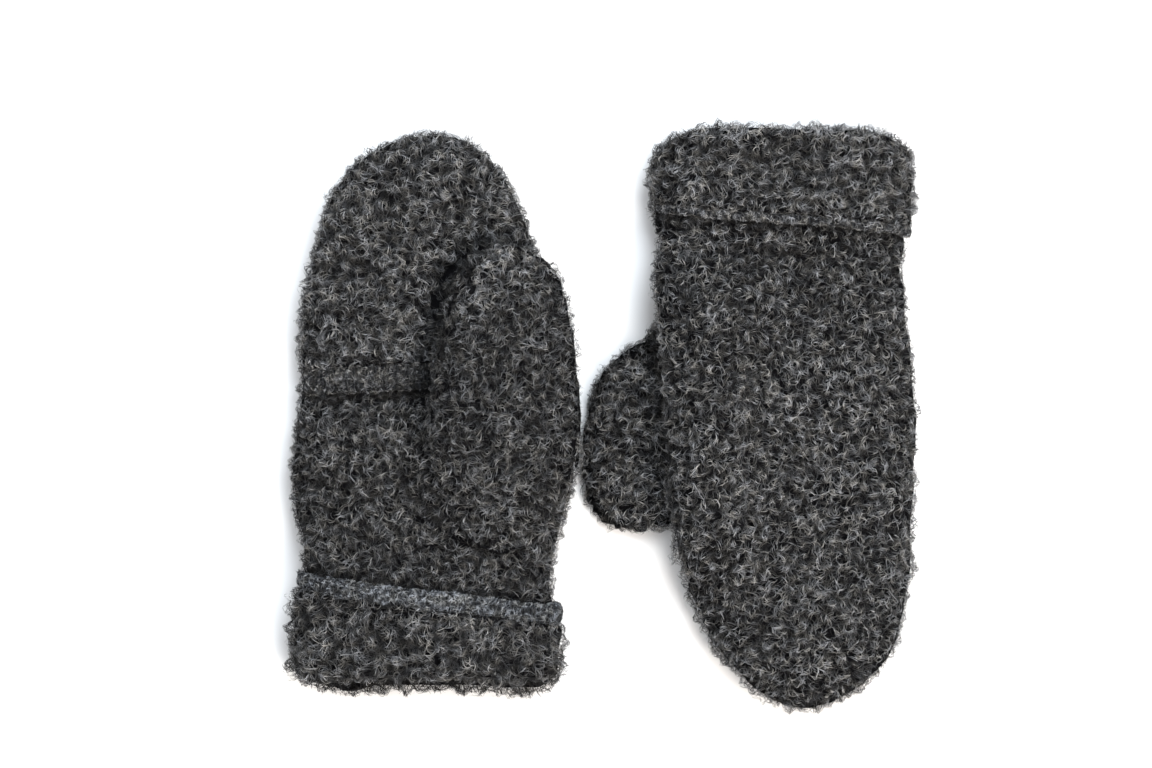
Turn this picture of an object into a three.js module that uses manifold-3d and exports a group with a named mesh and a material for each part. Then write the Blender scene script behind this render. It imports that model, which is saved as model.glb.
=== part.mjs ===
// A pair of thick wool-pile mittens for a small child, laid side by side on a flat surface.
// Units are millimetres, +X to the right, +Y away from the viewer, +Z up, resting on Z = 0.
// The right-hand mitten lies at -X, palm up and fingers away, with its thumb over the palm.
// The left-hand mitten lies at +X, back up and fingers towards the viewer, with its thumb under its edge.
import * as THREE from 'three';
import { mergeVertices } from 'three/addons/utils/BufferGeometryUtils.js';
import Module from 'manifold-3d';

const wasm = await Module();
wasm.setup();

// Cloth and seams
const WALL = 3.0; // knitted ground with its wool pile
const THUMB_WALL = 2.2;
const LOOSE_RAMP = 7; // over this length the thumb's seam leaves the palm
const HOOD_GAP = 1.15; // the hood's edge lies this far off the palm's curved pile
const BAND_WALL = 1.7; // the close-knit edge bands have no pile
const SEAM_GAP = 0.3;

// Sections across a mitten: flattened ovals, squarer below where they rest
const TOP_SQUARENESS = 2.6;
const REST_SQUARENESS = 3.6;
const REST_OVERDRAW = 1.05; // how far the lower curve would pass the surface it is pressed flat on
const FULL_HALF_WIDTH = 28; // narrower sections than this close in towards a fingertip
const FULL_THUMB_HALF_WIDTH = 13;
const FULL_RISE = 5;

// Turned-up cuff
const MOUTH_EDGE = 4.2; // where the hand panels end, inside the fold of the cuff
const CUFF_OUT = SEAM_GAP + WALL;
const FOLD_DEPTH = 3.5;
const CUFF_EDGE_ROUNDING = 0.5;
const CUFF_FACE_SHARES = [1, 0.9, 0.6, 0.3, 0]; // from the free edge down to the fold
const CUFF_FOLD_SHARES = [0.15, 0.35, 0.5, 0.65, 0.85, 1]; // round the fold to the panel's inner face
const MOUTH_REACH = 24; // the mouth's rounded corners and uneven plies die out over this length
const CORNER_SHARPNESS = 5; // the higher, the closer the rounding keeps to the corners

// Slit across the palm, under the finger flap
const TUCK_LENGTH = 12;
const TUCK_RAMP = 5;
const FLAP_BAND = 7;
const SLIT_REACH = 16; // the slit's slant dies out over this length

// Mesh density
const COLUMNS = 12;
const THUMB_COLUMNS = 10;
const STEPS_PER_ROW = 1.6;
const STATION_MARGIN = 0.1; // rows of points stay this far apart, in table rows

// Each hand row is a station along the mitten, from the wrist to the fingertip: its place, its left and
// right edge, and the heights of its underside and its top.
const RIGHT_HAND = {
  columns: ['along', 'left', 'right', 'under', 'over'],
  rows: [
    [4.2, -34.8, 32.9, 3.3, 19.2],
    [22, -34.8, 33.1, 3.3, 19.2],
    [36.6, -34.8, 33.4, 3.3, 19.1],
    [45, -35.6, 35, 0.2, 18.2],
    [53, -37.2, 36.8, 0, 18],
    [63, -38.2, 38.8, 0, 18],
    [75, -37.4, 38.4, 0, 18],
    [86, -35.8, 36.2, 0, 18],
    [98, -36.4, 34, 0, 18],
    [110, -35.2, 32.2, 0, 18],
    [121, -32.8, 29.6, 0, 17.8],
    [131, -30, 26.4, 0, 17.4],
    [140, -26.4, 23.2, 0.1, 16.8],
    [147, -20.8, 18, 0.8, 15.6],
    [151.4, -14.2, 13.4, 2.6, 13.6],
    [154.4, -7.6, 8.2, 5.2, 11],
    [155.6, 0, 0, 8, 8],
  ],
};
const LEFT_HAND = {
  columns: ['along', 'left', 'right', 'under', 'over'],
  rows: [
    [4.2, -32.8, 32.8, 3.3, 19.2],
    [22, -33, 32.8, 3.3, 19.2],
    [33, -33.4, 32.6, 3.2, 18.8],
    [42, -33, 32.6, 0.2, 18.2],
    [54, -34.3, 32, 0, 18],
    [66, -35.5, 31.6, 0, 18],
    [80, -36.5, 31.8, 0, 18],
    [94, -36.3, 31.4, 0, 18],
    [108, -35.9, 30.4, 0, 18],
    [122, -35.6, 27.6, 0, 18],
    [134, -33.8, 23, 0, 17.6],
    [144, -31, 18, 0.1, 16.8],
    [151, -25.4, 11.6, 0.8, 15.4],
    [156, -18.8, 5.8, 2.6, 13.2],
    [159.2, -11.4, -0.2, 5.2, 10.8],
    [160.4, -5, -5, 8, 8],
  ],
};

// Each thumb row is a station from the palm, where its hood closes, to the thumb tip.
const RIGHT_THUMB = {
  columns: ['along', 'left', 'right', 'under', 'over'],
  rows: [
    [39, 19.5, 19.5, 18.3, 18.3],
    [40.6, 13.5, 25.5, 18.3, 19.6],
    [45, 8.6, 30.6, 18.3, 21.6],
    [52, 5, 34.4, 18.3, 23.2],
    [60, 2.2, 38, 18.3, 25.8],
    [67, 0.6, 40.3, 18.3, 27.6],
    [75, 0, 40.8, 18.3, 28.4],
    [85, 0.3, 40.8, 18.3, 28.4],
    [95.5, 2, 40.2, 18.3, 28.4],
    [106, 4.2, 38.4, 18.3, 28.2],
    [114.4, 7, 36, 18.4, 27.9],
    [119.4, 10.6, 32.6, 18.8, 27.2],
    [122.8, 16, 27.8, 20, 25.8],
    [124.6, 22, 22, 23, 23],
  ],
};
const LEFT_THUMB = {
  columns: ['along', 'left', 'right', 'under', 'over'],
  rows: [
    [41, 24, 24, 4.5, 4.5],
    [42.6, 18.6, 29.4, 2.6, 8],
    [46.5, 15.6, 32, 0.6, 9],
    [52, 14.2, 30.6, 0, 9.3],
    [57, 14.2, 33.6, 0, 9.3],
    [60.5, 14.8, 38.4, 0, 9.3],
    [65, 15.6, 44.6, 0, 9.3],
    [71, 16.4, 48.8, 0, 9.3],
    [79, 17, 51.5, 0, 9.3],
    [88, 17.6, 52.6, 0, 9.3],
    [97, 19.2, 52.2, 0, 9.3],
    [103.5, 22.4, 50.4, 0.1, 9.2],
    [108, 27, 47.6, 0.8, 8.6],
    [110.6, 32.4, 43.8, 2.2, 7.2],
    [111.4, 38, 38, 4.6, 4.6],
  ],
};

// Soft hollows in the upper side: where each lies, its half size across and along, and its depth
const DENT_COLUMNS = ['across', 'along', 'wide', 'long', 'deep'];
const RIGHT_DENTS = [
  [-2, 49, 17, 8, 1.8],
  [-26, 55, 12, 6, 0.8],
  [-14, 74, 18, 5, 0.8],
  [6, 132, 16, 6, 0.7],
];
const LEFT_DENTS = [
  [-14, 40, 20, 6, 1.4],
  [20, 39, 12, 6, 1.2],
  [-4, 90, 20, 9, 0.8],
  [-22, 126, 12, 10, 0.9],
];

// How far the left hand's edge is propped up by the thumb under it
const THUMB_PROP = { height: 9.6, from: 2, to: 20, start: 30, full: 50, hold: 112, end: 130 };

const MITTENS = [
  {
    name: 'right_hand',
    place: [-46.5, -77.8, 0],
    turn: 0,
    palmSide: 1,
    hand: RIGHT_HAND,
    thumb: RIGHT_THUMB,
    dents: RIGHT_DENTS,
    mouth: { leftCorner: 5.5, rightCorner: 4, over: 1.9, under: 0.5 },
    slit: 85.2,
    slitTilt: 0.055,
    thumbHole: { across: 19.5, along: 54, halfWide: 8.4, halfLong: 8.4 },
    thumbBackFrom: 63.5,
    cuffs: {
      palm: { fold: 2.2, edgeLeft: 36, edgeRight: 26, band: 5 },
      back: { fold: 0, edgeLeft: 36, edgeRight: 26, band: 5 },
    },
  },
  {
    name: 'left_hand',
    place: [49, 80.2, 0],
    turn: Math.PI,
    palmSide: -1,
    hand: LEFT_HAND,
    thumb: LEFT_THUMB,
    dents: LEFT_DENTS,
    prop: THUMB_PROP,
    mouth: { leftCorner: 6.5, rightCorner: 7.5, over: 0.9, under: 0.7 },
    slit: 87,
    slitTilt: 0.03,
    thumbHole: { across: 24, along: 54, halfWide: 6.2, halfLong: 7 },
    thumbBackFrom: 62.5,
    cuffs: {
      palm: { fold: 0.4, edgeLeft: 30, edgeRight: 31, band: 2.4 },
      back: { fold: 0.4, edgeLeft: 31.4, edgeRight: 25.2, band: 2.4 },
    },
  },
];

const pile = { roughness: 0.98, metalness: 0 };
const MATERIALS = {
  pile: () => new THREE.MeshStandardMaterial({ ...pile, color: 0x46484b }),
  band: () => new THREE.MeshStandardMaterial({ ...pile, color: 0x33363b }),
};

// Curves

const clamp = (value, low, high) => Math.min(high, Math.max(low, value));
const mix = (a, b, share) => a + (b - a) * share;

function smooth(low, high, value) {
  const share = clamp((value - low) / (high - low), 0, 1);
  return share * share * (3 - 2 * share);
}

// The slope that keeps a curve through a, b and c free of overshoot at b
function steadySlope(a, b, c) {
  const before = b - a;
  const after = c - b;
  return before * after <= 0 ? 0 : (2 * before * after) / (before + after);
}

// A table as a function of a running row number, smooth between the rows
function tableCurve({ columns, rows }) {
  const last = rows.length - 1;
  const slopeAt = (column, i) => {
    if (i === 0) return rows[1][column] - rows[0][column];
    if (i === last) return rows[last][column] - rows[last - 1][column];
    return steadySlope(rows[i - 1][column], rows[i][column], rows[i + 1][column]);
  };
  const at = (s) => {
    const i = Math.min(last - 1, Math.floor(s));
    const u = s - i;
    const values = columns.map((_, column) => {
      const [a, b] = [rows[i][column], rows[i + 1][column]];
      const [slopeA, slopeB] = [slopeAt(column, i), slopeAt(column, i + 1)];
      const rise = u * u * (3 - 2 * u);
      return mix(a, b, rise) + u * (1 - u) * ((1 - u) * slopeA - u * slopeB);
    });
    return Object.fromEntries(columns.map((column, k) => [column, values[k]]));
  };
  return { at, last };
}

// The running row number whose station lies at a given place along the mitten
function stationAt(curve, along) {
  let [low, high] = [0, curve.last];
  for (let step = 0; step < 40; step++) {
    const middle = (low + high) / 2;
    if (curve.at(middle).along < along) low = middle;
    else high = middle;
  }
  return (low + high) / 2;
}

// Sections

const signedPower = (value, power) => Math.sign(value) * Math.abs(value) ** power;

// A point of a flattened oval section: turn 0 is its right edge, pi its left, side 1 its upper half
function sectionPoint(row, turn, side, out, fullHalfWidth, end) {
  const half = (row.right - row.left) / 2;
  const squareness = side > 0 ? TOP_SQUARENESS : REST_SQUARENESS;
  const fullness = Math.min(1, half / fullHalfWidth);
  const seam = (row.over + row.under) / 2;
  const halfHeight = (row.over - row.under) / 2;
  const rise = halfHeight + out * Math.min(1, halfHeight / FULL_RISE);
  const across = (half + out * fullness) * signedPower(Math.cos(turn), 2 / squareness);
  const up = Math.max(0, Math.sin(turn)) ** (2 / squareness);
  const lift = side > 0 ? rise * up : Math.min(rise, rise * up * REST_OVERDRAW);
  return {
    x: (row.right + row.left) / 2 + across,
    y: row.along + end * out * (1 - fullness),
    z: seam + side * Math.max(SEAM_GAP / 2, lift),
  };
}

function dentDepth(dents, x, y) {
  return dents
    .map((values) => Object.fromEntries(DENT_COLUMNS.map((name, i) => [name, values[i]])))
    .map((dent) => [((x - dent.across) / dent.wide) ** 2 + ((y - dent.along) / dent.long) ** 2, dent.deep])
    .reduce((total, [distance, deep]) => total + deep * Math.exp(-distance), 0);
}

function propHeight(prop, x, y) {
  if (!prop) return 0;
  const lengthwise = smooth(prop.start, prop.full, y) * (1 - smooth(prop.hold, prop.end, y));
  return prop.height * smooth(prop.from, prop.to, x) * lengthwise;
}

// How far the mouth is drawn in at a place: most at its corners, and each ply by its own amount
function mouthDraw(mouth, along, turn, side) {
  const across = Math.cos(turn);
  const corner = (across > 0 ? mouth.rightCorner : mouth.leftCorner) * Math.abs(across) ** CORNER_SHARPNESS;
  const ply = (side > 0 ? mouth.over : mouth.under) * Math.sin(turn);
  return (corner + ply) * (1 - smooth(0, MOUTH_REACH, along));
}

// A point on the hand at a running row number, moved out of the surface by a distance
function handPoint(mitten, row, turn, side, out) {
  const point = sectionPoint(row, turn, side, out, FULL_HALF_WIDTH, 1);
  const dent = side > 0 ? dentDepth(mitten.dents, point.x, point.y) * Math.sin(turn) : 0;
  point.z += propHeight(mitten.prop, point.x, point.y) - dent;
  const nearSlit = Math.exp(-(((point.y - mitten.slit) / SLIT_REACH) ** 2));
  point.y += mitten.slitTilt * point.x * nearSlit + mouthDraw(mitten.mouth, row.along, turn, side);
  return point;
}

// The same at a place along the mitten, also past the ends of the hand panels
function handPointAlong(mitten, along, turn, side, out) {
  const row = mitten.handCurve.at(stationAt(mitten.handCurve, along));
  return handPoint(mitten, { ...row, along }, turn, side, out);
}

// The height of the palm's outer surface over or under a point
function palmHeight(mitten, x, y) {
  const row = mitten.handCurve.at(stationAt(mitten.handCurve, y));
  const half = (row.right - row.left) / 2;
  const across = clamp((x - (row.right + row.left) / 2) / half, -1, 1);
  const squareness = mitten.palmSide > 0 ? TOP_SQUARENESS : REST_SQUARENESS;
  const turn = Math.acos(signedPower(across, squareness / 2));
  return handPoint(mitten, row, turn, mitten.palmSide, 0).z;
}

// Closed cloth: an outer and an inner grid of points, sewn round the rim

function closedSkin(rowCount, columnCount, outer, inner) {
  const positions = [];
  const grid = (place) =>
    Array.from({ length: rowCount }, (_, i) =>
      Array.from({ length: columnCount }, (__, j) => {
        const { x, y, z } = place(i, j);
        positions.push(x, y, z);
        return positions.length / 3 - 1;
      }),
    );
  const [outside, inside] = [grid(outer), grid(inner)];
  const faces = [];
  const quad = (a, b, c, d) => faces.push([a, b, c], [a, c, d]);
  const [lastRow, lastColumn] = [rowCount - 1, columnCount - 1];
  for (let i = 0; i < lastRow; i++) {
    for (let j = 0; j < lastColumn; j++) {
      quad(outside[i][j], outside[i][j + 1], outside[i + 1][j + 1], outside[i + 1][j]);
      quad(inside[i][j], inside[i + 1][j], inside[i + 1][j + 1], inside[i][j + 1]);
    }
    quad(outside[i][0], outside[i + 1][0], inside[i + 1][0], inside[i][0]);
    quad(outside[i][lastColumn], inside[i][lastColumn], inside[i + 1][lastColumn], outside[i + 1][lastColumn]);
  }
  for (let j = 0; j < lastColumn; j++) {
    quad(outside[0][j], inside[0][j], inside[0][j + 1], outside[0][j + 1]);
    quad(outside[lastRow][j], outside[lastRow][j + 1], inside[lastRow][j + 1], inside[lastRow][j]);
  }
  return solidGeometry(positions, faces.flat());
}

// Points that coincide are merged, faces that collapsed are dropped, and the faces turned to point out
function solidGeometry(positions, index) {
  const geometry = new THREE.BufferGeometry();
  geometry.setAttribute('position', new THREE.Float32BufferAttribute(positions, 3));
  geometry.setIndex(index);
  const merged = mergeVertices(geometry, 1e-3);
  const source = merged.index.array;
  const kept = [];
  for (let i = 0; i < source.length; i += 3) {
    const [a, b, c] = source.slice(i, i + 3);
    if (a !== b && b !== c && c !== a) kept.push(a, b, c);
  }
  const place = merged.getAttribute('position');
  const corner = (i) => new THREE.Vector3().fromBufferAttribute(place, i);
  let volume = 0;
  for (let i = 0; i < kept.length; i += 3) {
    volume += corner(kept[i]).dot(corner(kept[i + 1]).cross(corner(kept[i + 2])));
  }
  merged.setIndex(volume < 0 ? kept.reverse() : kept);
  merged.computeVertexNormals();
  return merged;
}

function cutAway(geometry, cutter) {
  const solid = (source) => {
    const bare = source.clone();
    bare.deleteAttribute('normal');
    bare.deleteAttribute('uv');
    const closed = mergeVertices(bare, 1e-4);
    const mesh = new wasm.Mesh({
      numProp: 3,
      vertProperties: Float32Array.from(closed.getAttribute('position').array),
      triVerts: Uint32Array.from(closed.index.array),
    });
    return new wasm.Manifold(mesh);
  };
  const result = solid(geometry).subtract(solid(cutter)).getMesh();
  return solidGeometry(Array.from(result.vertProperties), Array.from(result.triVerts));
}

const turnOf = (j, columns) => (Math.PI * j) / columns;

// Running row numbers from one station to another, the ones between shared by every piece
function stationsBetween(from, to) {
  const first = Math.ceil((from + STATION_MARGIN) * STEPS_PER_ROW);
  const last = Math.floor((to - STATION_MARGIN) * STEPS_PER_ROW);
  const shared = Array.from({ length: Math.max(0, last - first + 1) }, (_, i) => (first + i) / STEPS_PER_ROW);
  return [from, ...shared, to];
}

// Hand panels

function handPanel(mitten, side, stations, outAt, wall) {
  const point = (i, j, out) => {
    const row = mitten.handCurve.at(stations[i]);
    return handPoint(mitten, row, turnOf(j, COLUMNS), side, out + outAt(row.along));
  };
  return closedSkin(
    stations.length,
    COLUMNS + 1,
    (i, j) => point(i, j, 0),
    (i, j) => point(i, j, -wall),
  );
}

function backPanel(mitten) {
  const stations = stationsBetween(0, mitten.handCurve.last);
  return handPanel(mitten, -mitten.palmSide, stations, () => 0, WALL);
}

// The lower palm ends tucked under the finger flap
function palmPanel(mitten) {
  const end = stationAt(mitten.handCurve, mitten.slit + TUCK_LENGTH);
  const bend = stationAt(mitten.handCurve, mitten.slit - TUCK_RAMP);
  const level = stationAt(mitten.handCurve, mitten.slit - 1);
  const stations = [...stationsBetween(0, bend), level, ...stationsBetween(level, end).slice(1)];
  const tucked = (along) =>
    -CUFF_OUT * smooth(mitten.slit - TUCK_RAMP, mitten.slit - 1, along);
  const panel = handPanel(mitten, mitten.palmSide, stations, tucked, WALL);
  return cutAway(panel, thumbHoleCutter(mitten));
}

// The hole in the palm that the thumb opens into
function thumbHoleCutter(mitten) {
  const { across, along, halfWide, halfLong } = mitten.thumbHole;
  const outline = new THREE.Shape();
  outline.absellipse(across, along, halfWide, halfLong, 0, 2 * Math.PI);
  const { over, under } = mitten.handCurve.at(stationAt(mitten.handCurve, along));
  const depth = over - under;
  const cutter = new THREE.ExtrudeGeometry(outline, { depth, bevelEnabled: false, curveSegments: 12 });
  const propped = propHeight(mitten.prop, across, along);
  cutter.translate(0, 0, mitten.palmSide > 0 ? depth / 2 : propped - depth / 2);
  return cutter;
}

function fingerFlap(mitten) {
  const start = stationAt(mitten.handCurve, mitten.slit + FLAP_BAND + SEAM_GAP);
  const stations = stationsBetween(start, mitten.handCurve.last);
  return handPanel(mitten, mitten.palmSide, stations, () => 0, WALL);
}

// The knitted hem of the flap is thinner than the pile and lies on the tucked palm
function flapBand(mitten) {
  const start = stationAt(mitten.handCurve, mitten.slit);
  const end = stationAt(mitten.handCurve, mitten.slit + FLAP_BAND);
  const lowered = () => BAND_WALL - WALL;
  return handPanel(mitten, mitten.palmSide, [start, (start + end) / 2, end], lowered, BAND_WALL);
}

// Thumb

// The front half is a hood: its edges leave the thumb's seam near the palm and run down on to the palm
function thumbFrontPoint(mitten, row, turn, out) {
  const side = mitten.palmSide;
  const end = row.along > mitten.thumbMiddle ? 1 : -1;
  const point = sectionPoint(row, turn, side, out, FULL_THUMB_HALF_WIDTH, end);
  const seam = (row.over + row.under) / 2;
  const from = mitten.thumbBackFrom;
  const loose = smooth(from - LOOSE_RAMP, from, row.along);
  const onPalm = palmHeight(mitten, point.x, point.y) + side * HOOD_GAP;
  const edge = mix(onPalm, seam, loose);
  const crown = side > 0 ? row.over : row.under;
  const share = clamp((point.z - seam) / (crown - seam || side), 0, 1);
  const height = mix(edge, point.z, loose > 0 ? Math.max(share, loose) : share);
  point.z = side > 0 ? Math.max(height, onPalm) : Math.min(height, onPalm);
  return point;
}

function thumbFront(mitten) {
  const stations = stationsBetween(0, mitten.thumbCurve.last);
  const point = (i, j, out) => {
    const row = mitten.thumbCurve.at(stations[i]);
    return thumbFrontPoint(mitten, row, turnOf(j, THUMB_COLUMNS), out);
  };
  return closedSkin(
    stations.length,
    THUMB_COLUMNS + 1,
    (i, j) => point(i, j, 0),
    (i, j) => point(i, j, -THUMB_WALL),
  );
}

function thumbBack(mitten) {
  const start = stationAt(mitten.thumbCurve, mitten.thumbBackFrom);
  const stations = stationsBetween(start, mitten.thumbCurve.last);
  const point = (i, j, out) => {
    const row = mitten.thumbCurve.at(stations[i]);
    return sectionPoint(row, turnOf(j, THUMB_COLUMNS), -mitten.palmSide, out, FULL_THUMB_HALF_WIDTH, 1);
  };
  return closedSkin(
    stations.length,
    THUMB_COLUMNS + 1,
    (i, j) => point(i, j, 0),
    (i, j) => point(i, j, -THUMB_WALL),
  );
}

// Cuffs

// The free edge of a cuff runs straight from its left end to its right end
const cuffEdge = (cuff, turn) => mix(cuff.edgeLeft, cuff.edgeRight, (1 + Math.cos(turn)) / 2);

// The turned-up cuff: from its band down the outside, round the fold and on to the panel's end
function cuffHalf(mitten, side, cuff) {
  const panelEnd = MOUTH_EDGE - SEAM_GAP;
  const faceRows = CUFF_FACE_SHARES.map((share) => ({
    outer: [share === 1 ? CUFF_OUT - CUFF_EDGE_ROUNDING : CUFF_OUT, share],
    inner: [SEAM_GAP, share],
  }));
  const foldRows = CUFF_FOLD_SHARES.map((share) => {
    const angle = Math.PI * share;
    const out = mix(-WALL, CUFF_OUT, (1 + Math.cos(angle)) / 2);
    const depth = FOLD_DEPTH * (1 - Math.sin(angle));
    return { outer: [out, depth], inner: [mix(SEAM_GAP, -WALL, share), panelEnd] };
  });
  const place = (i, j, face) => {
    const turn = turnOf(j, COLUMNS);
    const edge = cuffEdge(cuff, turn) - cuff.band - SEAM_GAP;
    const onFace = i < faceRows.length;
    const [out, station] = (onFace ? faceRows[i] : foldRows[i - faceRows.length])[face];
    const foldShift = cuff.fold * clamp(1 - station / panelEnd, 0, 1);
    const along = onFace ? mix(panelEnd, edge, station) : station + foldShift;
    return handPointAlong(mitten, along, turn, side, out);
  };
  return closedSkin(
    faceRows.length + foldRows.length,
    COLUMNS + 1,
    (i, j) => place(i, j, 'outer'),
    (i, j) => place(i, j, 'inner'),
  );
}

function cuffBand(mitten, side, cuff) {
  const place = (i, j, out) => {
    const turn = turnOf(j, COLUMNS);
    return handPointAlong(mitten, cuffEdge(cuff, turn) - cuff.band * (1 - i), turn, side, out);
  };
  return closedSkin(
    2,
    COLUMNS + 1,
    (i, j) => place(i, j, SEAM_GAP + BAND_WALL),
    (i, j) => place(i, j, SEAM_GAP),
  );
}

// Assembly

function addMesh(group, name, geometry, material) {
  const mesh = new THREE.Mesh(geometry, material);
  mesh.name = name;
  group.add(mesh);
}

function mittenGroup(spec) {
  const mitten = {
    ...spec,
    handCurve: tableCurve(spec.hand),
    thumbCurve: tableCurve(spec.thumb),
    thumbMiddle: (spec.thumb.rows[0][0] + spec.thumb.rows.at(-1)[0]) / 2,
  };
  const group = new THREE.Group();
  group.position.set(...spec.place);
  group.rotation.z = spec.turn;
  const { name, palmSide, cuffs } = spec;
  addMesh(group, `${name}_back_panel`, backPanel(mitten), MATERIALS.pile());
  addMesh(group, `${name}_palm_panel`, palmPanel(mitten), MATERIALS.pile());
  addMesh(group, `${name}_finger_flap`, fingerFlap(mitten), MATERIALS.pile());
  addMesh(group, `${name}_flap_band`, flapBand(mitten), MATERIALS.band());
  addMesh(group, `${name}_thumb_front`, thumbFront(mitten), MATERIALS.pile());
  addMesh(group, `${name}_thumb_back`, thumbBack(mitten), MATERIALS.pile());
  addMesh(group, `${name}_cuff_palm`, cuffHalf(mitten, palmSide, cuffs.palm), MATERIALS.pile());
  addMesh(group, `${name}_cuff_back`, cuffHalf(mitten, -palmSide, cuffs.back), MATERIALS.pile());
  addMesh(group, `${name}_cuff_band_palm`, cuffBand(mitten, palmSide, cuffs.palm), MATERIALS.band());
  addMesh(group, `${name}_cuff_band_back`, cuffBand(mitten, -palmSide, cuffs.back), MATERIALS.band());
  return group;
}

const pair = new THREE.Group();
MITTENS.forEach((spec) => pair.add(mittenGroup(spec)));

// The pair stands with the middle of its box over the origin
const middle = new THREE.Box3().setFromObject(pair, true).getCenter(new THREE.Vector3());
pair.position.set(-middle.x, -middle.y, 0);

export default pair;
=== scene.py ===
import math
from dataclasses import dataclass

import bmesh
import bpy
import numpy as np
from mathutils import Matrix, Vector, noise
from mathutils.bvhtree import BVHTree
from mathutils.kdtree import KDTree


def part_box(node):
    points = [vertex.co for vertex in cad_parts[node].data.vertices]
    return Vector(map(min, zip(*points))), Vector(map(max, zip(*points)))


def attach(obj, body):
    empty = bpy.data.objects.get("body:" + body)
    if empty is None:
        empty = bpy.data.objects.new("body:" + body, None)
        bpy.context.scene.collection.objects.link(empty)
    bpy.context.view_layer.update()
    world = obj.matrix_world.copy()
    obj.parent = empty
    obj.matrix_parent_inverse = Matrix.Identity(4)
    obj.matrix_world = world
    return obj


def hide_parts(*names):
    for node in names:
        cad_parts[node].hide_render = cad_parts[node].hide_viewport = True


# A pair of thick wool-pile mittens, laid flat side by side. Each piece of cloth is a thin shell on the
# form of its solid, and its curly pile is a mesh of fine strands that grow in tufts.
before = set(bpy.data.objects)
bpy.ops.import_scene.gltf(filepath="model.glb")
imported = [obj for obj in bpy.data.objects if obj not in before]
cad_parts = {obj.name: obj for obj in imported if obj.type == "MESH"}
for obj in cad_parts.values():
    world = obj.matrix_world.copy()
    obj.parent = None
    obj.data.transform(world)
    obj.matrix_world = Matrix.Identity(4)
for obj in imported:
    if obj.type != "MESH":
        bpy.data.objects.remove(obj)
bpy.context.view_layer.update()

MM = 0.001
HANDS = ("right_hand", "left_hand")
ALONG_SIGN = {"right_hand": 1, "left_hand": -1}  # the way the fingers point along Y
PALM_SIGN = {"right_hand": 1, "left_hand": -1}  # the way the palm faces along Z
PARTS = (
    "back_panel", "palm_panel", "finger_flap", "flap_band", "thumb_front", "thumb_back",
    "cuff_palm", "cuff_back", "cuff_band_palm", "cuff_band_back",
)

# Cloth shells
CLOTH_VOXEL = 1.6 * MM
BAND_VOXEL = 0.8 * MM
MERGE_DISTANCE = 0.001 * MM
SHARP_ANGLE = math.radians(50)
RIM_CREASE = 0.85
FACET_ANGLE = math.radians(40)  # two triangles of the solid join into one face under this angle
FACET_SKEW = math.radians(80)
GROUND_DEPTH = 1.5 * MM  # the knitted ground lies this far under the tips of the pile
BAND_DEPTH = 0.3 * MM
RESTING_SHARE = 0.15  # of that depth where the cloth lies on the surface
SIDE_DEPTH_SHARE = 0.2
COVER_REACH = 26 * MM  # a point whose normal meets its own mitten within this length is covered
RAY_START = 0.5 * MM
RAY_LEAN = 1.6  # how far the second of three rays leans from the normal to the vertical
SHARE_ROUNDS = 2
SEAM_ROUNDS = 2  # the pile grows this many faces further, over the seams
LUMPS = ((7.5 * MM, 0.55 * MM), (3.6 * MM, 0.3 * MM))  # size and height of the pile's soft lumps

RIM_REACH = 0.6 * MM  # a pile rim reaches this far towards the band sewn to it

# Where the thumb and the hand are sewn together the lower one swells up beside the higher one: the lower
# piece, the higher piece, the side of the mitten, how far the swelling reaches, its share of the step
# between the two, and how far from the mouth it is still full and where it has gone
SWELLINGS = (
    ("palm_panel", "thumb_front", 1, 12 * MM, 0.8, 68 * MM, 84 * MM),
    ("thumb_back", "back_panel", -1, 9 * MM, 0.8, 54 * MM, 74 * MM),
    ("thumb_front", "back_panel", -1, 9 * MM, 0.8, 54 * MM, 74 * MM),
)
HEIGHT_BIN = 2 * MM

# Pile
STRAND_PROFILE = (0.9, 1.0, 1.0, 0.85, 0.0)
RISE_PROFILE = (-0.2, 0.5, 0.82, 1.0, 0.94)
SIDE_SHARE = 1.0
SIDE_FACING = 1.0  # how far the strands on the sides turn their broad face upwards
TUFT_SPACING = 0.84
KNOT_EDGE = 0.74  # a tuft has sunk away this far from its centre, in its own sizes, and stands full here:
KNOT_TOP = 0.15
ROOT_SHARE = 0.3  # a strand's root lies this far along it, seen from above
UNDER_SHARE = 0.06
FLOOR_CLEARANCE = 0.12 * MM
TRIANGLES_A_PIECE = 180000
CANDIDATES = 2.4e6  # to the square metre, for choosing the tufts' centres


@dataclass
class Pile:
    """How one kind of pile grows"""
    tuft: float  # between the tufts' centres
    pull: tuple  # how far the strands gather to those centres
    segments: int
    length: tuple
    turn: tuple  # how far a strand curls, in radians
    height: float
    knot: float  # how high the tufts stand over the hollows between them
    width: float
    density: float  # locks to the square metre
    stray: float  # share of long loose strands
    comb: float  # how strongly the strands lie along the mitten
    tone: float


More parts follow.
